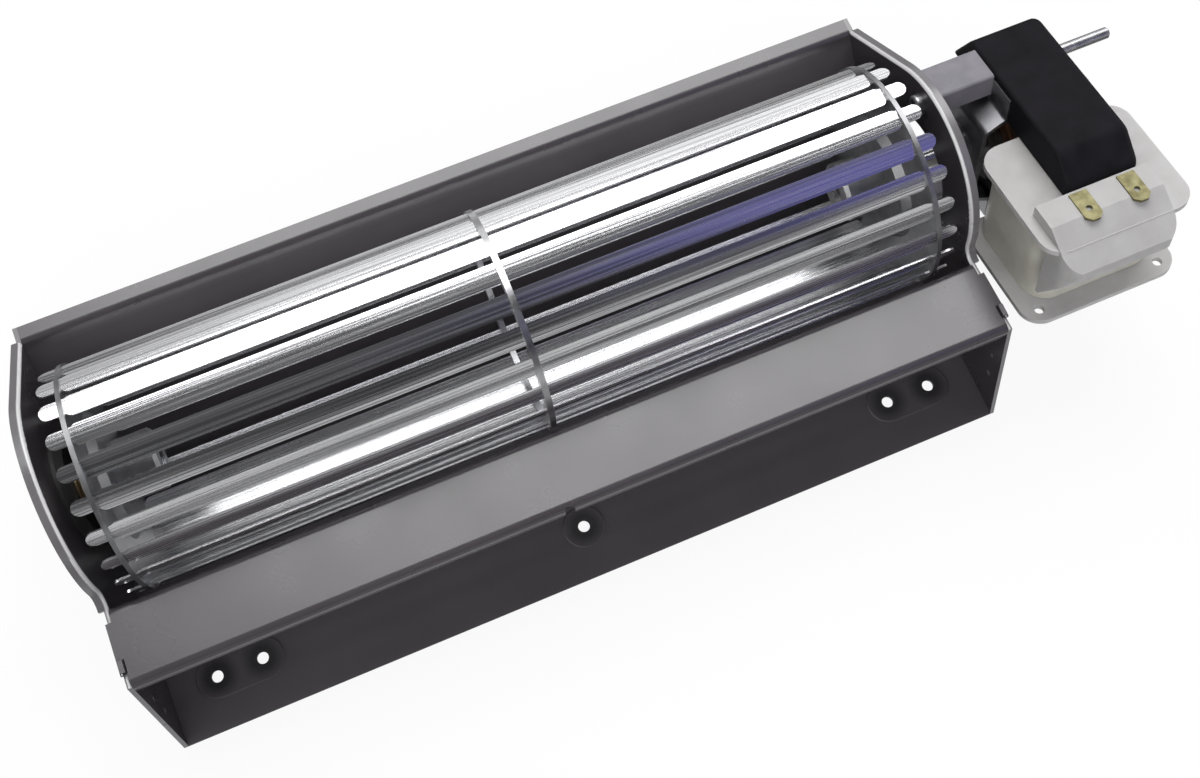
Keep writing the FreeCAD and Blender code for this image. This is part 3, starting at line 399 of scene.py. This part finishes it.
def clouded(tree, shader, size, dark, light, smooth, rough):
    """One noise of that size takes the colour from dark to light and the gloss over its range."""
    cloud = grain(tree, size, detail=3.0)
    link(tree, shades(tree, cloud, (0.3, dark), (0.7, light)), shader.inputs["Base Color"])
    link(tree, shades(tree, cloud, (0.3, smooth), (0.7, rough)), shader.inputs["Roughness"])


def dull_metal(name, dark, light, roughness, size=0.004):
    """Clouded metal with a relief six times finer than its clouds."""
    finish, tree, shader = new_finish(name, metallic=1.0)
    clouded(tree, shader, size, dark, light, roughness - 0.06, roughness + 0.08)
    relief(tree, shader, grain(tree, size / 6, detail=2.0), depth=0.00001, strength=0.4)
    return finish


def closed_piece(name, points, faces, finish, body, slot, *replaced):
    """Mesh object from points in metres, shaded smooth, that rides on a body."""
    mesh = bpy.data.meshes.new(name)
    mesh.from_pydata(points.tolist(), [], faces.tolist())
    mesh.shade_smooth()
    mesh.materials.append(finish)
    piece = bpy.data.objects.new(name, mesh)
    scene.collection.objects.link(piece)
    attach(piece, body)
    if replaced:
        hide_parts(*replaced)
    return piece


WHEEL_AXIS = 0.036
BLADES = 22
BLADE_PHASE = -26.0
BLADE_OUTER = 0.0294
BLADE_CURVE = 0.018
BLADE_EXIT = np.radians(10.0)
BLADE_CHORD = 0.0052
BLADE_SHOULDER = 0.1060
BLADE_CORNER = 0.0015
BLADE_TIP = 0.11215
TAB = (0.0004, 0.0044)
TAB_HALF = (TAB[1] - TAB[0]) / 2
TAB_MIDDLE = (TAB[0] + TAB[1]) / 2
TAB_START = 0.02
BESIDE_TAB = 1e-6
BLADE_SHEET = 0.0006
BLADE_EDGE = 0.00026
BLADE_EDGE_ANGLE = math.radians(50)


def blade_reach(s):
    """Half length at a distance s from the outer edge: a shoulder whose corners are quarter
    circles, and past it a tab that ends in a half circle."""
    near = np.minimum(s, BLADE_CHORD - s)
    beside = np.clip(BLADE_CORNER - near, 0, BLADE_CORNER)
    cut = BLADE_CORNER - np.sqrt(np.clip(BLADE_CORNER ** 2 - beside ** 2, 0, None))
    off = np.abs(s - TAB_MIDDLE)
    tab = BLADE_TIP - TAB_HALF + np.sqrt(np.clip(TAB_HALF ** 2 - off ** 2, 0, None))
    return np.where(off < TAB_HALF, tab, BLADE_SHOULDER - cut)


def blade_sheet():
    """Middle surface of one blade. Across it, an arc of fixed radius starts at the outer edge at a
    small angle to the rim and turns towards the axis. Along it, each place is a share of the half
    length that the tabbed outline has there."""
    round_end = TAB_MIDDLE - TAB_HALF * np.cos(np.linspace(TAB_START, np.pi - TAB_START, 13))
    s = np.concatenate([np.linspace(0, TAB[0] - BESIDE_TAB, 3), round_end,
                        np.linspace(TAB[1] + BESIDE_TAB, BLADE_CHORD, 10)])
    turn = BLADE_EXIT + s / BLADE_CURVE
    across = BLADE_CURVE * (np.sin(turn) - np.sin(BLADE_EXIT))
    inward = BLADE_CURVE * (np.cos(BLADE_EXIT) - np.cos(turn))
    share = np.concatenate([np.linspace(-1, -0.93, 5), np.linspace(-0.9, 0.9, 19),
                            np.linspace(0.93, 1, 5)])
    x = share[:, None] * blade_reach(s)[None, :]
    return x, np.broadcast_to(-across, x.shape), np.broadcast_to(BLADE_OUTER - inward, x.shape)


def make_blades():
    """The sheet turned to each place round the wheel, then given its thickness and soft edges."""
    x, y, z = blade_sheet()
    points, faces = [], []
    for k in range(BLADES):
        a = math.radians(BLADE_PHASE + 360.0 * k / BLADES)
        turned_y = y * math.cos(a) - z * math.sin(a)
        turned_z = y * math.sin(a) + z * math.cos(a) + WHEEL_AXIS
        points.append(np.stack([x, turned_y, turned_z], -1).reshape(-1, 3))
        faces.append(grid_faces(*x.shape, start=k * x.size)[:, ::-1])
    blades = closed_piece("blades", np.concatenate(points), np.concatenate(faces), aluminium,
                          "rotor", "wheel_aluminium", "wheel_blades")
    wall = blades.modifiers.new("wall", "SOLIDIFY")
    wall.thickness = BLADE_SHEET
    wall.offset = 0
    wall.use_even_offset = True
    edge = blades.modifiers.new("edge", "BEVEL")
    edge.width = BLADE_EDGE
    edge.segments = 3
    edge.angle_limit = BLADE_EDGE_ANGLE
    edge.harden_normals = True


aluminium = bright_aluminium()
coat(aluminium, "wheel_blades")
coat(dull_metal("ring_aluminium", dark=(0.58, 0.58, 0.60), light=(0.72, 0.72, 0.74),
                roughness=0.3), "wheel_middle_ring")
coat(dull_metal("disc_aluminium", dark=(0.26, 0.26, 0.27), light=(0.38, 0.38, 0.39),
                roughness=0.42), "wheel_disc_left", "wheel_disc_right")
make_blades()
coat(dull_metal("hub_metal", dark=(0.34, 0.34, 0.35), light=(0.46, 0.46, 0.47),
                roughness=0.42), "wheel_hub_left", "wheel_hub_right")


# Shafts and left bearing
# Ground steel shafts run in sintered bushes, and a black rubber grommet holds the left one in its
# plate. Two plastic washers take the end thrust, and dark screws fix the hubs.

def moulded(name, dark, light, roughness, size=0.006, **sockets):
    """Clouded plastic or rubber with a relief ten times finer than its clouds."""
    finish, tree, shader = new_finish(name, metallic=0.0, **sockets)
    clouded(tree, shader, size, dark, light, roughness - 0.05, roughness + 0.06)
    relief(tree, shader, grain(tree, size / 10, detail=2.0), depth=0.00002, strength=0.5)
    return finish


coat(dull_metal("ground_steel", dark=(0.52, 0.52, 0.54), light=(0.66, 0.66, 0.68),
                roughness=0.22), "stub_shaft", "motor_shaft")
coat(dull_metal("dark_screws", dark=(0.10, 0.10, 0.11), light=(0.16, 0.16, 0.17),
                roughness=0.4), "set_screws")
coat(dull_metal("sintered_bronze", dark=(0.38, 0.27, 0.16), light=(0.50, 0.37, 0.23),
                roughness=0.45, size=0.001),
     "bearing_bush", "motor_bush_inner", "motor_bush_outer")
coat(moulded("grommet_rubber", dark=(0.012, 0.012, 0.012), light=(0.022, 0.022, 0.022),
             roughness=0.55), "bearing_grommet")
coat(moulded("washer_plastic", dark=(0.55, 0.53, 0.48), light=(0.68, 0.66, 0.60),
             roughness=0.4), "thrust_washers")


# Motor
# A shaded pole motor: varnished laminations under a black cap, and a white nylon bobbin with its
# coil. Two zinced brackets hold the bushes, and two long screws run through spacer blocks.

coat(moulded("black_cap", dark=(0.008, 0.008, 0.010), light=(0.013, 0.012, 0.015),
             roughness=0.55, Specular_IOR_Level=0.04), "stack_cover")
coat(dull_metal("lamination_steel", dark=(0.10, 0.10, 0.11), light=(0.17, 0.17, 0.18),
                roughness=0.45), "stator_stack")
coat(dull_metal("copper_ring", dark=(0.45, 0.22, 0.12), light=(0.62, 0.33, 0.2),
                roughness=0.35), "shading_rings")
white_nylon = moulded("white_nylon", dark=(0.43, 0.42, 0.415), light=(0.48, 0.475, 0.47),
                      roughness=0.5, Specular_IOR_Level=0.3, Subsurface_Weight=0.4,
                      Subsurface_Scale=0.002, Subsurface_Radius=(1.0, 1.0, 1.0))
coat(white_nylon, "coil_bobbin")
coat(moulded("coil_tape", dark=(0.62, 0.60, 0.52), light=(0.74, 0.72, 0.64),
             roughness=0.35), "coil_wrap")
coat(dull_metal("copper_wire", dark=(0.40, 0.16, 0.07), light=(0.55, 0.25, 0.12),
                roughness=0.3), "coil_winding")
coat(dull_metal("terminal_brass", dark=(0.10, 0.09, 0.045), light=(0.27, 0.25, 0.14),
                roughness=0.42, size=0.002), "spade_terminals")
coat(dull_metal("zinc_plate", dark=(0.28, 0.28, 0.30), light=(0.42, 0.42, 0.44),
                roughness=0.42), "bearing_bracket_inner", "bearing_bracket_outer")
coat(moulded("zinc_block", dark=(0.17, 0.165, 0.185), light=(0.23, 0.22, 0.245),
             roughness=0.5, Specular_IOR_Level=0.3), "motor_spacer_upper", "motor_spacer_lower")
coat(dull_metal("screw_steel", dark=(0.36, 0.36, 0.38), light=(0.52, 0.52, 0.54),
                roughness=0.35), "motor_screws")
coat(dull_metal("rotor_steel", dark=(0.30, 0.30, 0.31), light=(0.45, 0.45, 0.46),
                roughness=0.4), "motor_rotor")


# Terminal block corners
# The block is moulded hollow, with round outer corners of even thickness.
# Two curved walls of the same nylon close the places where its square hollow comes through them.

MOTOR_TILT = math.radians(15.0)
BLOCK_LEFT = 0.1265
BLOCK_RIGHT = 0.1575
BLOCK_FRONT = 0.057
BLOCK_CORNER = 0.006
BLOCK_TOP = ((0.0450, 0.05628, 0.0570), (0.0192, 0.0124, 0.0100))
BLOCK_UNDERCUT = ((0.0467, 0.0570), (-0.0060, 0.0100))
LINING_ANGLES = np.linspace(20, 78, 17)
LINING_SHARES = np.linspace(0, 1, 9)
LINING_DEPTH = 0.00003
LINING_MARGIN = 0.0002
LINING_THICKNESS = 0.0011


def block_corner_wall(side, turn):
    """Upright strip of a cylinder just under the block's corner. Round it, the angle runs over most
    of a quarter. Up it, the strip fills the height between the block's undercut front and its top,
    and the whole is turned with the motor about the wheel's axis."""
    angle = np.radians(LINING_ANGLES)[:, None]
    radius = BLOCK_CORNER - LINING_DEPTH
    ahead = BLOCK_FRONT - BLOCK_CORNER + radius * np.sin(angle)
    x = side + turn * BLOCK_CORNER - turn * radius * np.cos(angle)
    low = np.interp(ahead, *BLOCK_UNDERCUT) + LINING_MARGIN
    high = np.interp(ahead, *BLOCK_TOP) - LINING_MARGIN
    up = low + (high - low) * LINING_SHARES[None, :]
    ahead, x = np.broadcast_to(ahead, up.shape), np.broadcast_to(x, up.shape)
    y = -ahead * math.cos(MOTOR_TILT) + up * math.sin(MOTOR_TILT)
    z = ahead * math.sin(MOTOR_TILT) + up * math.cos(MOTOR_TILT) + WHEEL_AXIS
    faces = grid_faces(*up.shape)
    return np.stack([x, y, z], -1).reshape(-1, 3), faces[:, ::-1] if turn > 0 else faces


def line_block_corners():
    """Both strips, thickened inwards."""
    left, left_faces = block_corner_wall(BLOCK_LEFT, 1)
    right, right_faces = block_corner_wall(BLOCK_RIGHT, -1)
    corners = closed_piece("block_corners", np.concatenate([left, right]),
                           np.concatenate([left_faces, right_faces + len(left)]), white_nylon,
                           "housing", "white_nylon")
    wall = corners.modifiers.new("wall", "SOLIDIFY")
    wall.thickness = LINING_THICKNESS
    wall.offset = -1


line_block_corners()
